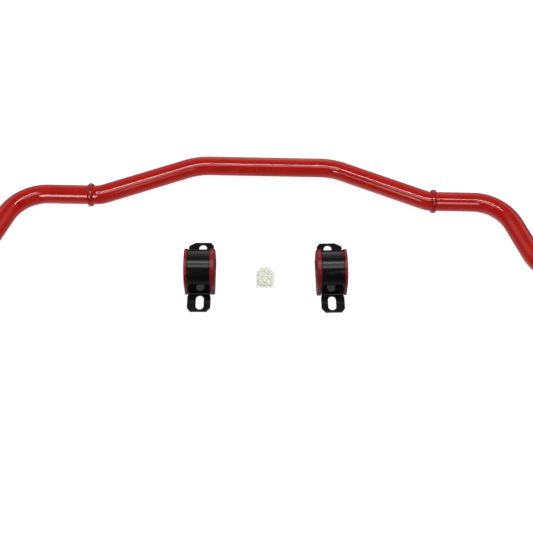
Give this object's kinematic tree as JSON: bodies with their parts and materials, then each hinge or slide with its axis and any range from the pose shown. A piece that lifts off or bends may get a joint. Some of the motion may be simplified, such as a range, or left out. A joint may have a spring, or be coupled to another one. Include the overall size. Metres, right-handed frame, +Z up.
{
  "type": "sway bar",
  "caption": "Bent round sway bar with flattened drilled ends and crimped collars, laid out with flanged D-bushings in slotted U-brackets and a sachet of grease.",
  "frame": {"origin": "on the floor, under the middle of the layout's bounding box", "axes": "+X along the bar to its right end, +Y from the arms back to the set-back centre stretch, +Z up"},
  "size_m": [1.1788, 0.2992, 0.061],
  "materials": {
    "bar_paint": "glossy red powder coat",
    "collar_paint": "glossy red powder coat over a crimped ring",
    "bushing_polyurethane": "moulded polyurethane, satin",
    "bracket_paint": "glossy black paint on stamped sheet",
    "sachet_film": "clear thin film",
    "grease": "translucent pale yellow-green grease"
  },
  "bodies": {
    "bar": {"sway_bar": "bar_paint", "left_collar": "collar_paint", "right_collar": "collar_paint"},
    "left_bushing": {"left_bushing": "bushing_polyurethane"},
    "left_bracket": {"left_bracket": "bracket_paint"},
    "right_bushing": {"right_bushing": "bushing_polyurethane"},
    "right_bracket": {"right_bracket": "bracket_paint"},
    "sachet": {"sachet_lower_film": "sachet_film", "sachet_upper_film": "sachet_film", "sachet_grease": "grease"}
  },
  "joints": [
    {"name": "left_unit_lift", "type": "slide", "parent": "bar", "child": "left_bushing", "axis": [0, 0, 1], "range_m": [0, 0.1]},
    {"name": "left_bracket_lift", "type": "slide", "parent": "left_bushing", "child": "left_bracket", "axis": [0, 0, 1], "range_m": [0, 0.07]},
    {"name": "right_unit_lift", "type": "slide", "parent": "bar", "child": "right_bushing", "axis": [0, 0, 1], "range_m": [0, 0.1]},
    {"name": "right_bracket_lift", "type": "slide", "parent": "right_bushing", "child": "right_bracket", "axis": [0, 0, 1], "range_m": [0, 0.07]},
    {"name": "sachet_lift", "type": "slide", "parent": "bar", "child": "sachet", "axis": [0, 0, 1], "range_m": [0, 0.05]}
  ]
}
